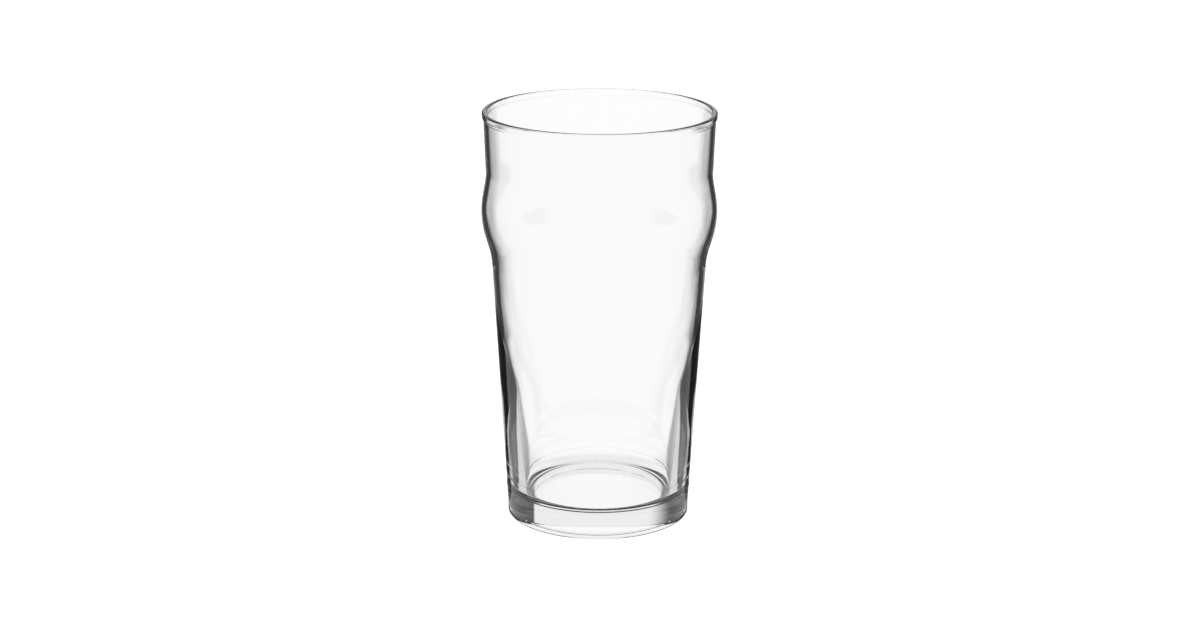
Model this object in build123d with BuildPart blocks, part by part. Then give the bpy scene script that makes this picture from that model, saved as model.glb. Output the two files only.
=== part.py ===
"""A conical pint glass with a bulge below the rim, pressed and blown in one piece.

The glass is one solid of revolution about +Z. It stands on the plane z = 0 with its origin at
the centre of the foot. Each corner of the outline is a radius and a height, with the radius of
the arc that rounds it, so the walls are straight runs joined by tangent arcs.
"""

from build123d import *
import os

# Overall sizes, millimetres
HEIGHT = 152.0
RIM_RADIUS = 42.45
FOOT_RADIUS = 33.6

# Underside: a shallow recess inside the flat ring that the glass stands on
RECESS_DEPTH = 0.3
RECESS_RADIUS = 24.3
RING_RADIUS = 24.9
FOOT_ROUND = 0.8

# Mould seam: a low ridge round the foot
SEAM_HEIGHT = 11.2
SEAM_HALF_WIDTH = 0.45
SEAM_PROUD = 0.15
SEAM_RADIUS = 34.15

# Outer wall: the top of the taper, the bulge and the waist above it
SHOULDER = (39.3, 98.8)
BULGE = (43.7, 113.1)
WAIST = (41.1, 128.2)

# Rim: a fire-polished bead that stands proud of the wall, rounded over the top
BEAD_FOOT = (41.9, 149.2)
BEAD_EDGE = (42.4, 149.9)
RIM_INNER_RADIUS = 40.75
RIM_ROUND = 0.8
LIP_FOOT = (40.15, 148.6)

# Wall thickness, measured along the radius
WALL_WAIST = 1.9
WALL_BULGE = 1.9
WALL_SHOULDER = 2.1

# Lower cavity: the thin wall swells to the thick lower wall, which runs into the floor in a cove
THIN_WALL_END = (35.45, 70.0)
THICK_WALL_TOP = (30.9, 43.0)
FLOOR_HEIGHT = 8.6
FLOOR_EDGE = (27.45, FLOOR_HEIGHT)
COVE_ROUND = 3.8


def inward(corner, wall):
    """The corner of the cavity that faces an outer corner across the wall."""
    return (corner[0] - wall, corner[1])


# The outline from the underside's centre, up the outside, over the rim and down the cavity.
# Each entry is a corner and the radius of its arc.
OUTLINE = [
    ((RECESS_RADIUS, RECESS_DEPTH), 0.4),
    ((RING_RADIUS, 0.0), 0.4),
    ((FOOT_RADIUS, 0.0), FOOT_ROUND),
    ((SEAM_RADIUS, SEAM_HEIGHT - SEAM_HALF_WIDTH), 0.5),
    ((SEAM_RADIUS + SEAM_PROUD, SEAM_HEIGHT), 0.3),
    ((SEAM_RADIUS, SEAM_HEIGHT + SEAM_HALF_WIDTH), 0.5),
    (SHOULDER, 30.0),
    (BULGE, 32.0),
    (WAIST, 20.0),
    (BEAD_FOOT, 0.35),
    (BEAD_EDGE, 0.5),
    ((RIM_RADIUS, HEIGHT), RIM_ROUND),
    ((RIM_INNER_RADIUS, HEIGHT), RIM_ROUND),
    (LIP_FOOT, 3.0),
    (inward(WAIST, WALL_WAIST), 22.0),
    (inward(BULGE, WALL_BULGE), 30.0),
    (inward(SHOULDER, WALL_SHOULDER), 32.0),
    (THIN_WALL_END, 250.0),
    (THICK_WALL_TOP, 300.0),
    (FLOOR_EDGE, COVE_ROUND),
]

underside_centre = (0.0, RECESS_DEPTH)
floor_centre = (0.0, FLOOR_HEIGHT)
corners = [corner for corner, _ in OUTLINE]
rounds = [arc for _, arc in OUTLINE]

with BuildPart() as glass_body:
    with BuildSketch(Plane.XZ):
        with BuildLine():
            FilletPolyline(underside_centre, *corners, floor_centre, radius=rounds)
            Line(floor_centre, underside_centre)
        make_face()
    revolve(axis=Axis.Z)

glass_body.part.label = "glass_body"

# What the glass holds: the cavity filled to the rim, on the axis side of the same outline
with BuildPart() as contents:
    with BuildSketch(Plane.XZ):
        with Locations((RIM_RADIUS / 2, (FLOOR_HEIGHT + HEIGHT) / 2)):
            Rectangle(RIM_RADIUS, HEIGHT - FLOOR_HEIGHT)
    revolve(axis=Axis.Z)
    add(glass_body.part, mode=Mode.SUBTRACT)
held = contents.part.solids().sort_by(Axis.Z)
capacity_ml = max(solid.volume for solid in held) / 1000
print(f"brimful capacity {capacity_ml:.0f} ml, glass {glass_body.part.volume / 1000:.1f} cm3")

os.makedirs("parts", exist_ok=True)
export_step(glass_body.part, "parts/glass_body.step")
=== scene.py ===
"""Looks for a one-piece pint glass: the glass itself, made by revolving its outline, and its studio.

The outline is the CAD outline, so the visible glass is the size and shape of the frame's solid.
"""

import math

import bmesh
import bpy
from bpy.props import FloatProperty, FloatVectorProperty, IntProperty, PointerProperty
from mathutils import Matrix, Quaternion, Vector


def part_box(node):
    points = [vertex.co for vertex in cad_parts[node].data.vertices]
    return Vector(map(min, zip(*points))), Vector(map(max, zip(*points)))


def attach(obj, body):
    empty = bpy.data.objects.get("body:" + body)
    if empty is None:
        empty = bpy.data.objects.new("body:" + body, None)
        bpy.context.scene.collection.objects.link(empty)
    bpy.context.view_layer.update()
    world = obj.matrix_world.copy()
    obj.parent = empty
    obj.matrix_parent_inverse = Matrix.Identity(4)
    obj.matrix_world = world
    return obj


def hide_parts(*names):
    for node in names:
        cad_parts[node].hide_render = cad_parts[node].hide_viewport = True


bl_info = {
    "name": "Pint Glass",
    "version": (1, 0, 0),
    "blender": (4, 5, 0),
    "location": "3D View > Sidebar > Pint Glass",
    "description": "Builds a clear pint glass with a bulge below the rim, and a plain studio for it",
    "category": "Object",
}

MM = 0.001
BODY = "root"
NODE = "glass_body"

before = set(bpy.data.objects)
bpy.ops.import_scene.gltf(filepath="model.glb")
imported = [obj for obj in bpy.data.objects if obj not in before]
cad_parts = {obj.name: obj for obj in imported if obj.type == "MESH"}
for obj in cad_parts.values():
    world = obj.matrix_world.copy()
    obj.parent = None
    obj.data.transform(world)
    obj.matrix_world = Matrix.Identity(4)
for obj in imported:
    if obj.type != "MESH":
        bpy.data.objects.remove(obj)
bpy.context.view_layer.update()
FOOT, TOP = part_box(NODE)
GLASS_HEIGHT = TOP.z - FOOT.z
AXIS = Vector(((FOOT.x + TOP.x) / 2, (FOOT.y + TOP.y) / 2, FOOT.z))

# The camera, metres from the foot of the glass and degrees
CAMERA_BACK = 0.870
CAMERA_HEIGHT = 0.328
CAMERA_PITCH = 16.167
CAMERA_ROLL = 0.2765
CAMERA_YAW = -0.0285
CAMERA_LENS_MM = 73.9
CAMERA_SENSOR_MM = 36.0

# Spacing of the outline's points, and the gap below which two points are one
RUN_STEP = 2.5 * MM
ARC_STEP = 0.5 * MM
SAME_POINT = 1e-7


# Sizes and colours that a user would change


def length(name, description, default_mm):
    """A length property whose default is given in millimetres."""
    return FloatProperty(
        name=name,
        description=description,
        default=default_mm * MM,
        min=0.0,
        unit="LENGTH",
        precision=5,
    )


class GlassShape(bpy.types.PropertyGroup):
    """Driving sizes of the outline."""

    height: FloatProperty(
        name="Height",
        description="From the foot to the top of the rim",
        default=GLASS_HEIGHT,
        unit="LENGTH",
        precision=5,
    )
    rim_radius: length("Rim radius", "Outside of the rim's bead", 42.45)
    rim_inner_radius: length("Rim inner radius", "Inside of the rim's bead", 40.75)
    foot_radius: length("Foot radius", "Outside of the foot, before it is rounded", 33.6)
    floor_height: length("Floor thickness", "Top of the cavity's floor above the table", 8.6)
    recess_depth: length("Recess depth", "Depth of the hollow under the foot", 0.3)
    seam_proud: length("Seam height", "How far the mould seam stands out", 0.15)
    wall_waist: length("Wall at the waist", "Thickness above the bulge", 1.9)
    wall_bulge: length("Wall at the bulge", "Thickness at the bulge", 1.9)
    wall_shoulder: length("Wall at the shoulder", "Thickness below the bulge", 2.1)
    facets: IntProperty(
        name="Facets", description="Steps round the axis", default=256, min=32, max=512
    )


class GlassFinish(bpy.types.PropertyGroup):
    """What the glass is like to look through."""

    tint: FloatVectorProperty(
        name="Tint",
        description="Colour of the light that the glass passes",
        subtype="COLOR",
        size=3,
        min=0.0,
        max=1.0,
        default=(1.0, 1.0, 1.0),
    )
    refraction: FloatProperty(
        name="Index of refraction", description="Soda-lime glass is 1.52", default=1.52
    )
    absorption: FloatProperty(
        name="Absorption", description="Loss of light per metre of glass", default=0.5, min=0.0
    )


class StudioLook(bpy.types.PropertyGroup):
    """Brightness and layout of the studio's surfaces."""

    daylight: FloatProperty(
        name="Room light", description="Even light from all round", default=1.3, min=0.0
    )
    backdrop: FloatProperty(
        name="Backdrop", description="White backdrop seen through the glass", default=1.0, min=0.0
    )
    near_white: FloatProperty(
        name="Table", description="White table close behind the glass", default=0.87, min=0.0
    )
    high_white: FloatProperty(
        name="Upper backdrop", description="Backdrop that lights the foot", default=0.87, min=0.0
    )
    near_dark: FloatProperty(
        name="Near cards", description="Near ends of the black cards", default=0.2, min=0.0
    )
    dark_cards: FloatProperty(
        name="Far cards", description="Black cards that draw the glass's edges", default=0.05, min=0.0
    )
    side_white: FloatProperty(
        name="Sides", description="Room just beyond the black cards", default=0.75, min=0.0
    )
    # Painted contact shadow: brightness of the dark ring on the sheet under the foot, seen through
    # the glass
    foot_contact_shadow: FloatProperty(
        name="Under foot", description="Black card beneath the foot", default=0.015, min=0.0
    )
    far_fan: FloatProperty(
        name="Far fan", description="Degrees aside at which the black cards start", default=8.0
    )
    near_fan: FloatProperty(
        name="Near fan", description="The same, close behind the glass", default=22.0
    )
    card_gap: FloatProperty(
        name="Card gap",
        description="From the axis to the point that the cards fan out from",
        default=0.036,
        unit="LENGTH",
        precision=4,
    )
    front: FloatProperty(
        name="Front", description="The pale room in front and at the sides", default=0.75, min=0.0
    )
    room_size: FloatProperty(
        name="Room size", description="Half the width of the table", default=2.0, unit="LENGTH"
    )
    floor_colour: FloatVectorProperty(
        name="Floor",
        description="Colour of the pale floor",
        subtype="COLOR",
        size=3,
        min=0.0,
        max=1.0,
        default=(0.92, 0.92, 0.92),
    )


# Shader maths


class Value:
    """A number or a socket of a material's nodes, with Python's operators."""

    def __init__(self, graph, source):
        self.graph = graph
        self.source = source

    def _math(self, operation, first, second):
        return self.graph.add(
            "ShaderNodeMath", {"operation": operation}, {0: first, 1: second}
        )

    def __add__(self, other):
        return self._math("ADD", self, other)

    def __radd__(self, other):
        return self._math("ADD", other, self)

    def __sub__(self, other):
        return self._math("SUBTRACT", self, other)

    def __rsub__(self, other):
        return self._math("SUBTRACT", other, self)

    def __mul__(self, other):
        return self._math("MULTIPLY", self, other)

    def __rmul__(self, other):
        return self._math("MULTIPLY", other, self)


class Graph:
    """The nodes of one material."""

    def __init__(self, name):
        self.material = bpy.data.materials.new(name)
        self.material.use_nodes = True
        self.tree = self.material.node_tree
        self.tree.nodes.clear()

    def add(self, kind, settings=None, inputs=None, output=0):
        """A node of one type, its settings first and then its sockets. Returns one output."""
        node = self.tree.nodes.new(kind)
        for key, setting in (settings or {}).items():
            setattr(node, key, setting)
        for key, given in (inputs or {}).items():
            socket = node.inputs[key]
            if isinstance(given, Value):
                self.tree.links.new(given.source, socket)
            else:
                socket.default_value = given
        return Value(self, node.outputs[output]) if node.outputs else node


def clear_glass(finish):
    """Polished glass: a faint orange-peel surface, and a thin film of handling marks."""
    mark_scale, ripple_scale = 45.0, 90.0
    haze, ripple_depth = 0.01, 0.0004
    graph = Graph("clear_glass")
    place = graph.add("ShaderNodeTexCoord", output="Object")
    marks = graph.add(
        "ShaderNodeTexNoise", {}, {"Vector": place, "Scale": mark_scale, "Detail": 3.0}
    )
    ripple = graph.add(
        "ShaderNodeTexNoise", {}, {"Vector": place, "Scale": ripple_scale, "Detail": 1.0}
    )
    polish = graph.add(
        "ShaderNodeBump",
        {},
        {"Strength": 0.02, "Distance": ripple_depth, "Height": ripple},
    )
    surface = graph.add(
        "ShaderNodeBsdfPrincipled",
        {},
        {
            "Base Color": (*finish.tint, 1.0),
            "Roughness": marks * haze,
            "IOR": finish.refraction,
            "Transmission Weight": 1.0,
            "Normal": polish,
        },
    )
    inside = graph.add(
        "ShaderNodeVolumeAbsorption",
        {},
        {"Color": (0.5, 0.5, 0.5, 1.0), "Density": finish.absorption},
    )
    graph.add("ShaderNodeOutputMaterial", {}, {"Surface": surface, "Volume": inside})
    return graph.material


def plain_paint(name, colour):
    """Matt paint for the floor."""
    graph = Graph(name)
    surface = graph.add(
        "ShaderNodeBsdfPrincipled", {}, {"Base Color": (*colour, 1.0), "Roughness": 0.8}
    )
    graph.add("ShaderNodeOutputMaterial", {}, {"Surface": surface})
    return graph.material


def eased(graph, value, span, low, high):
    """Goes smoothly from low to high as the value goes from the span's start to its end."""
    start, end = span
    return graph.add(
        "ShaderNodeMapRange",
        {"interpolation_type": "SMOOTHSTEP"},
        {"Value": value, "From Min": start, "From Max": end, "To Min": low, "To Max": high},
    )


def maths(graph, operation, first, second=0.0):
    """A Math node that has no operator of its own."""
    return graph.add("ShaderNodeMath", {"operation": operation}, {0: first, 1: second})


def place_on_card(graph):
    """The three coordinates of a point on a card, in metres from the foot of the glass."""
    place = graph.add("ShaderNodeTexCoord", output="Object")
    return [graph.add("ShaderNodeSeparateXYZ", {}, {0: place}, axis) for axis in range(3)]


def glow(graph, brightness):
    """Ends a card's nodes in a light of that brightness."""
    grey = graph.add("ShaderNodeCombineColor", {}, {0: brightness, 1: brightness, 2: brightness})
    lit = graph.add("ShaderNodeEmission", {}, {"Color": grey, "Strength": 1.0})
    graph.add("ShaderNodeOutputMaterial", {}, {"Surface": lit})
    return graph.material


def blend(first, second, share):
    """The first brightness where the share is 0, and the second where it is 1."""
    return first + (second - first) * share


def sheet_glow(look):
    """The table: white behind the glass, black cards fanning out, pale beyond and in front.

    A painted contact shadow, a dark ring under the front half of the foot, leaves out the patch
    that shows through the cavity's floor, which refraction shifts towards the back.
    """
    # Metres behind the axis, and then metres from it
    patch_centre, patch_reach = 0.04, (0.0, 0.014)
    near_to_far = (0.25, 0.5)
    near_begins, near_ends = (0.05, 0.08), (0.1, 0.16)
    outer_span = (0.1, 0.5)
    # front_half, floor_shift, floor_edge and foot_edge shape the painted contact shadow under the
    # foot
    front_half = (0.0, 0.012)
    floor_shift, floor_edge, foot_edge = 0.0067, (0.0245, 0.0275), (0.034, 0.037)
    # Degrees aside
    deepens, inner_edge, outer_edge, side_fade = (12.0, 26.0), (0.0, 8.0), (0.0, 6.0), (14.0, 34.0)
    outer_near, outer_far = 46.0, 34.0

    graph = Graph("sheet_glow")
    x, y, _ = place_on_card(graph)
    aside = maths(graph, "ABSOLUTE", x) - look.card_gap
    fan = maths(graph, "ARCTAN2", aside, y) * math.degrees(1.0)

    from_patch = maths(graph, "ABSOLUTE", y - patch_centre)
    white = eased(graph, from_patch, patch_reach, look.near_white, look.backdrop)
    inner = eased(graph, y, near_to_far, look.near_dark, look.dark_cards)
    dark = blend(inner, look.dark_cards, eased(graph, fan, deepens, 0.0, 1.0))
    near_start = eased(graph, y, near_begins, look.far_fan, look.near_fan)
    start = blend(near_start, look.far_fan, eased(graph, y, near_ends, 0.0, 1.0))
    shade = blend(white, dark, eased(graph, fan - start, inner_edge, 0.0, 1.0))

    outer = eased(graph, y, outer_span, outer_near, outer_far)
    side = eased(graph, fan - outer, side_fade, look.side_white, look.front)
    beyond = blend(shade, side, eased(graph, fan - outer, outer_edge, 0.0, 1.0))

    # Painted contact shadow: darkens a ring of the sheet under the front half of the foot, between
    # the patch seen through the cavity's floor and the foot's edge
    shifted = y - floor_shift
    from_patch_centre = maths(graph, "SQRT", x * x + shifted * shifted)
    outside_patch = eased(graph, from_patch_centre, floor_edge, 0.0, 1.0)
    # ring is the mask of the painted contact shadow, only in front of the axis
    ring = outside_patch * eased(graph, y, front_half, 1.0, 0.0)
    from_axis = maths(graph, "SQRT", x * x + y * y)
    # under is the brightness of the painted contact shadow, dark at the foot and pale beyond it
    under = eased(graph, from_axis, foot_edge, look.foot_contact_shadow, look.front)
    return glow(graph, blend(beyond, under, ring))


def room_glow(look):
    """The room: a white backdrop behind the glass, wider higher up, between black cards."""
    # Degrees aside, to either hand
    strip_edge, card_edge, side_fade = (7.0, 13.0), (33.0, 39.0), (48.0, 68.0)
    behind_camera = (110.0, 130.0)
    # Degrees to the right, of the upper backdrop's two ends
    right_end, left_end = (34.0, 36.0), (-44.0, -24.0)
    # Degrees above the table
    upper_starts, upper_stops = (12.0, 14.0), (50.0, 60.0)

    graph = Graph("room_glow")
    x, y, z = place_on_card(graph)
    turn = maths(graph, "ARCTAN2", x, y) * math.degrees(1.0)
    aside = maths(graph, "ABSOLUTE", turn)
    reach = maths(graph, "SQRT", x * x + y * y)
    rise = maths(graph, "ARCTAN2", z, reach) * math.degrees(1.0)

    strip = eased(graph, aside, strip_edge, look.backdrop, look.dark_cards)
    side = eased(graph, aside, side_fade, look.side_white, look.front)
    low = blend(strip, side, eased(graph, aside, card_edge, 0.0, 1.0))
    right = eased(graph, turn, right_end, 1.0, 0.0)
    left = eased(graph, turn, left_end, 0.0, 1.0)
    below = eased(graph, rise, upper_stops, 1.0, 0.0)
    high = look.dark_cards + (look.high_white - look.dark_cards) * right * left * below
    back = blend(low, high, eased(graph, rise, upper_starts, 0.0, 1.0))
    return glow(graph, blend(back, look.front, eased(graph, aside, behind_camera, 0.0, 1.0)))


# The outline


def corner(radius_mm, height_mm):
    """A point of the half outline, given in millimetres."""
    return Vector((radius_mm * MM, height_mm * MM))


def across(point, wall):
    """The corner of the cavity that faces an outer corner across the wall."""
    return point - Vector((wall, 0.0))


def outline_corners(shape):
    """Corners of the half outline, from the underside's centre round to the floor's centre.

    Each is a point and the radius of the arc there, in millimetres.
    """
    seam_height, seam_half_width, seam_radius = 11.2 * MM, 0.45 * MM, 34.15 * MM
    recess_radius, floor_radius = 24.3 * MM, 27.45 * MM
    shoulder, bulge, waist = corner(39.3, 98.8), corner(43.7, 113.1), corner(41.1, 128.2)
    ring_edge, bead_foot, bead_edge = corner(24.9, 0.0), corner(41.9, 149.2), corner(42.4, 149.9)
    lip_foot = corner(40.15, 148.6)
    thin_wall_end, thick_wall_top = corner(35.45, 70.0), corner(30.9, 43.0)
    return [
        (Vector((0.0, shape.recess_depth)), 0.0),
        (Vector((recess_radius, shape.recess_depth)), 0.4),
        (ring_edge, 0.4),
        (Vector((shape.foot_radius, 0.0)), 0.8),
        (Vector((seam_radius, seam_height - seam_half_width)), 0.5),
        (Vector((seam_radius + shape.seam_proud, seam_height)), 0.3),
        (Vector((seam_radius, seam_height + seam_half_width)), 0.5),
        (shoulder, 30.0),
        (bulge, 32.0),
        (waist, 20.0),
        (bead_foot, 0.35),
        (bead_edge, 0.5),
        (Vector((shape.rim_radius, shape.height)), 0.8),
        (Vector((shape.rim_inner_radius, shape.height)), 0.8),
        (lip_foot, 3.0),
        (across(waist, shape.wall_waist), 22.0),
        (across(bulge, shape.wall_bulge), 30.0),
        (across(shoulder, shape.wall_shoulder), 32.0),
        (thin_wall_end, 250.0),
        (thick_wall_top, 300.0),
        (Vector((floor_radius, shape.floor_height)), 3.8),
        (Vector((0.0, shape.floor_height)), 0.0),
    ]


def straight(start, end):
    """Points of a straight run, each with the outward normal of the outline."""
    span = end - start
    direction = span.normalized()
    normal = Vector((direction.y, -direction.x))
    steps = max(1, math.ceil(span.length / RUN_STEP))
    return [(start + span * (k / steps), normal) for k in range(steps + 1)]


def rounding(here, back, ahead, radius):
    """Points of the arc that rounds a corner, each with the outward normal of the outline."""
    turn = math.pi - back.angle(ahead)
    start = here + back * (radius * math.tan(turn / 2))
    centre = here + (back + ahead).normalized() * (radius / math.cos(turn / 2))
    first = start - centre
    side = 1.0 if (-back).cross(ahead) > 0 else -1.0
    steps = max(4, math.ceil(radius * turn / ARC_STEP))
    made = []
    for k in range(steps + 1):
        angle = side * turn * k / steps
        across_part = first.x * math.cos(angle) - first.y * math.sin(angle)
        up_part = first.x * math.sin(angle) + first.y * math.cos(angle)
        spoke = Vector((across_part, up_part))
        made.append((centre + spoke, spoke.normalized() * side))
    return made


def rounded_outline(corners):
    """The outline's points along straight runs and tangent arcs, with their normals."""
    path = []
    last = corners[0][0]
    for before, (here, arc_mm), after in zip(corners, corners[1:], corners[2:]):
        back = (before[0] - here).normalized()
        ahead = (after[0] - here).normalized()
        arc = rounding(here, back, ahead, arc_mm * MM)
        path += straight(last, arc[0][0]) + arc
        last = arc[-1][0]
    path += straight(last, corners[-1][0])
    kept = path[:1]
    for point in path[1:]:
        if (point[0] - kept[-1][0]).length > SAME_POINT:
            kept.append(point)
    return kept


def revolve(name, outline, facets):
    """A closed mesh of revolution whose vertex normals are the outline's own."""
    vertices, normals, faces, rings = [], [], [], []
    for point, normal in outline:
        if point.x < SAME_POINT:
            rings.append([len(vertices)])
            vertices.append(AXIS + Vector((0.0, 0.0, point.y)))
            normals.append(Vector((0.0, 0.0, math.copysign(1.0, normal.y))))
            continue
        ring = []
        for k in range(facets):
            angle = 2 * math.pi * k / facets
            out = Vector((math.cos(angle), math.sin(angle), 0.0))
            ring.append(len(vertices))
            vertices.append(AXIS + out * point.x + Vector((0.0, 0.0, point.y)))
            normals.append((out * normal.x + Vector((0.0, 0.0, normal.y))).normalized())
        rings.append(ring)
    for lower, upper in zip(rings, rings[1:]):
        for k in range(facets):
            j = (k + 1) % facets
            if len(lower) == 1:
                faces.append((lower[0], upper[j], upper[k]))
            elif len(upper) == 1:
                faces.append((lower[k], lower[j], upper[0]))
            else:
                faces.append((lower[k], lower[j], upper[j], upper[k]))
    mesh = bpy.data.meshes.new(name)
    mesh.from_pydata(vertices, [], faces)
    mesh.polygons.foreach_set("use_smooth", [True] * len(mesh.polygons))
    mesh.normals_split_custom_set_from_vertices(normals)
    mesh.validate()
    piece = bpy.data.objects.new(name, mesh)
    bpy.context.collection.objects.link(piece)
    return piece


# Operators


class OBJECT_OT_pint_glass_body(bpy.types.Operator):
    """Make the glass: one piece, revolved from its outline"""

    bl_idname = "object.pint_glass_body"
    bl_label = "Make Glass"

    def execute(self, context):
        shape = context.scene.glass_shape
        outline = rounded_outline(outline_corners(shape))
        glass = revolve("pint_glass", outline, shape.facets)
        glass.data.materials.append(clear_glass(context.scene.glass_finish))
        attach(glass, BODY)
        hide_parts(NODE)
        glass.visible_shadow = False
        glass.visible_diffuse = False
        return {"FINISHED"}


def card_rig():
    """An empty on the glass's axis that carries the cards, fixed in the room."""
    rig = bpy.data.objects.new("card_rig", None)
    bpy.context.collection.objects.link(rig)
    rig.location = AXIS
    return rig


def card(name, work, rig, material):
    """A lit surface on the rig, seen only in the glass."""
    mesh = bpy.data.meshes.new(name)
    work.to_mesh(mesh)
    work.free()
    mesh.materials.append(material)
    made = bpy.data.objects.new(name, mesh)
    bpy.context.collection.objects.link(made)
    made.parent = rig
    made.visible_camera = False
    made.visible_diffuse = False
    made.visible_shadow = False
    made.visible_volume_scatter = False
    return made


def room_light(scene, look):
    """Even light from all round."""
    world = bpy.data.worlds.new("room")
    world.use_nodes = True
    sky = world.node_tree.nodes["Background"]
    sky.inputs["Color"].default_value = (1.0, 1.0, 1.0, 1.0)
    sky.inputs["Strength"].default_value = look.daylight
    scene.world = world


def pale_floor(look):
    """The floor that the glass stands on, which the glass itself doesn't show."""
    half = 20.0
    sides = ((-half, -half), (half, -half), (half, half), (-half, half))
    mesh = bpy.data.meshes.new("floor")
    mesh.from_pydata([(x, y, FOOT.z) for x, y in sides], [], [(0, 1, 2, 3)])
    mesh.materials.append(plain_paint("floor_paint", look.floor_colour))
    floor = bpy.data.objects.new("floor", mesh)
    bpy.context.collection.objects.link(floor)
    floor.visible_transmission = False
    floor.visible_glossy = False


def camera_in_front(scene):
    """The scene's camera, which looks down at the glass."""
    lens = bpy.data.cameras.new("camera")
    lens.lens = CAMERA_LENS_MM
    lens.sensor_width = CAMERA_SENSOR_MM
    lens.clip_end = 100.0
    camera = bpy.data.objects.new("camera", lens)
    bpy.context.collection.objects.link(camera)
    camera.location = AXIS + Vector((0.0, -CAMERA_BACK, CAMERA_HEIGHT))
    camera.rotation_mode = "QUATERNION"
    camera.rotation_quaternion = (
        Quaternion((0, 0, 1), math.radians(CAMERA_YAW))
        @ Quaternion((1, 0, 0), math.radians(90.0 - CAMERA_PITCH))
        @ Quaternion((0, 0, 1), math.radians(CAMERA_ROLL))
    )
    scene.camera = camera


def cards_round_glass(look):
    """The table's sheet and the room, which the glass refracts and reflects."""
    sheet_drop = 0.2 * MM
    room_radius = look.room_size * 1.4
    rig = card_rig()
    table = bmesh.new()
    bmesh.ops.create_grid(table, x_segments=1, y_segments=1, size=look.room_size)
    bmesh.ops.translate(table, verts=table.verts, vec=(0.0, 0.0, -sheet_drop))
    card("sheet", table, rig, sheet_glow(look))
    room = bmesh.new()
    bmesh.ops.create_uvsphere(room, u_segments=64, v_segments=32, radius=room_radius)
    card("room", room, rig, room_glow(look))


def softbox():
    """A soft lamp above and to the left, hidden from the glass."""
    lamp_data = bpy.data.lights.new("softbox", "AREA")
    lamp_data.energy = 6.0
    lamp_data.size = 1.2
    lamp = bpy.data.objects.new("softbox", lamp_data)
    bpy.context.collection.objects.link(lamp)
    lamp.location = AXIS + Vector((-0.6, -0.3, 1.6))
    lamp.rotation_euler = (AXIS - lamp.location).to_track_quat("-Z", "Y").to_euler()
    lamp.visible_glossy = False
    lamp.visible_transmission = False


class SCENE_OT_pint_glass_studio(bpy.types.Operator):
    """Make the floor, the light, the cards round the glass and the camera"""

    bl_idname = "scene.pint_glass_studio"
    bl_label = "Make Studio"

    def execute(self, context):
        look = context.scene.studio_look
        room_light(context.scene, look)
        pale_floor(look)
        camera_in_front(context.scene)
        cards_round_glass(look)
        softbox()
        context.scene.view_settings.view_transform = "Standard"
        return {"FINISHED"}


class VIEW3D_PT_pint_glass(bpy.types.Panel):
    """The steps that make the glass and its studio"""

    bl_label = "Pint Glass"
    bl_space_type = "VIEW_3D"
    bl_region_type = "UI"
    bl_category = "Pint Glass"

    def draw(self, context):
        for step in STEPS:
            self.layout.operator(step.bl_idname)


STEPS = (OBJECT_OT_pint_glass_body, SCENE_OT_pint_glass_studio)
GROUPS = {"glass_shape": GlassShape, "glass_finish": GlassFinish, "studio_look": StudioLook}
CLASSES = (*GROUPS.values(), *STEPS, VIEW3D_PT_pint_glass)


def register():
    """Registers the classes and puts the property groups on the scene."""
    for kind in CLASSES:
        bpy.utils.register_class(kind)
    for name, group in GROUPS.items():
        setattr(bpy.types.Scene, name, PointerProperty(type=group))


def unregister():
    """Takes away what register put there."""
    for name in GROUPS:
        delattr(bpy.types.Scene, name)
    for kind in reversed(CLASSES):
        bpy.utils.unregister_class(kind)


def main():
    """Makes the glass and its studio."""
    register()
    bpy.ops.object.pint_glass_body()
    bpy.ops.scene.pint_glass_studio()


if __name__ == "__main__":
    main()
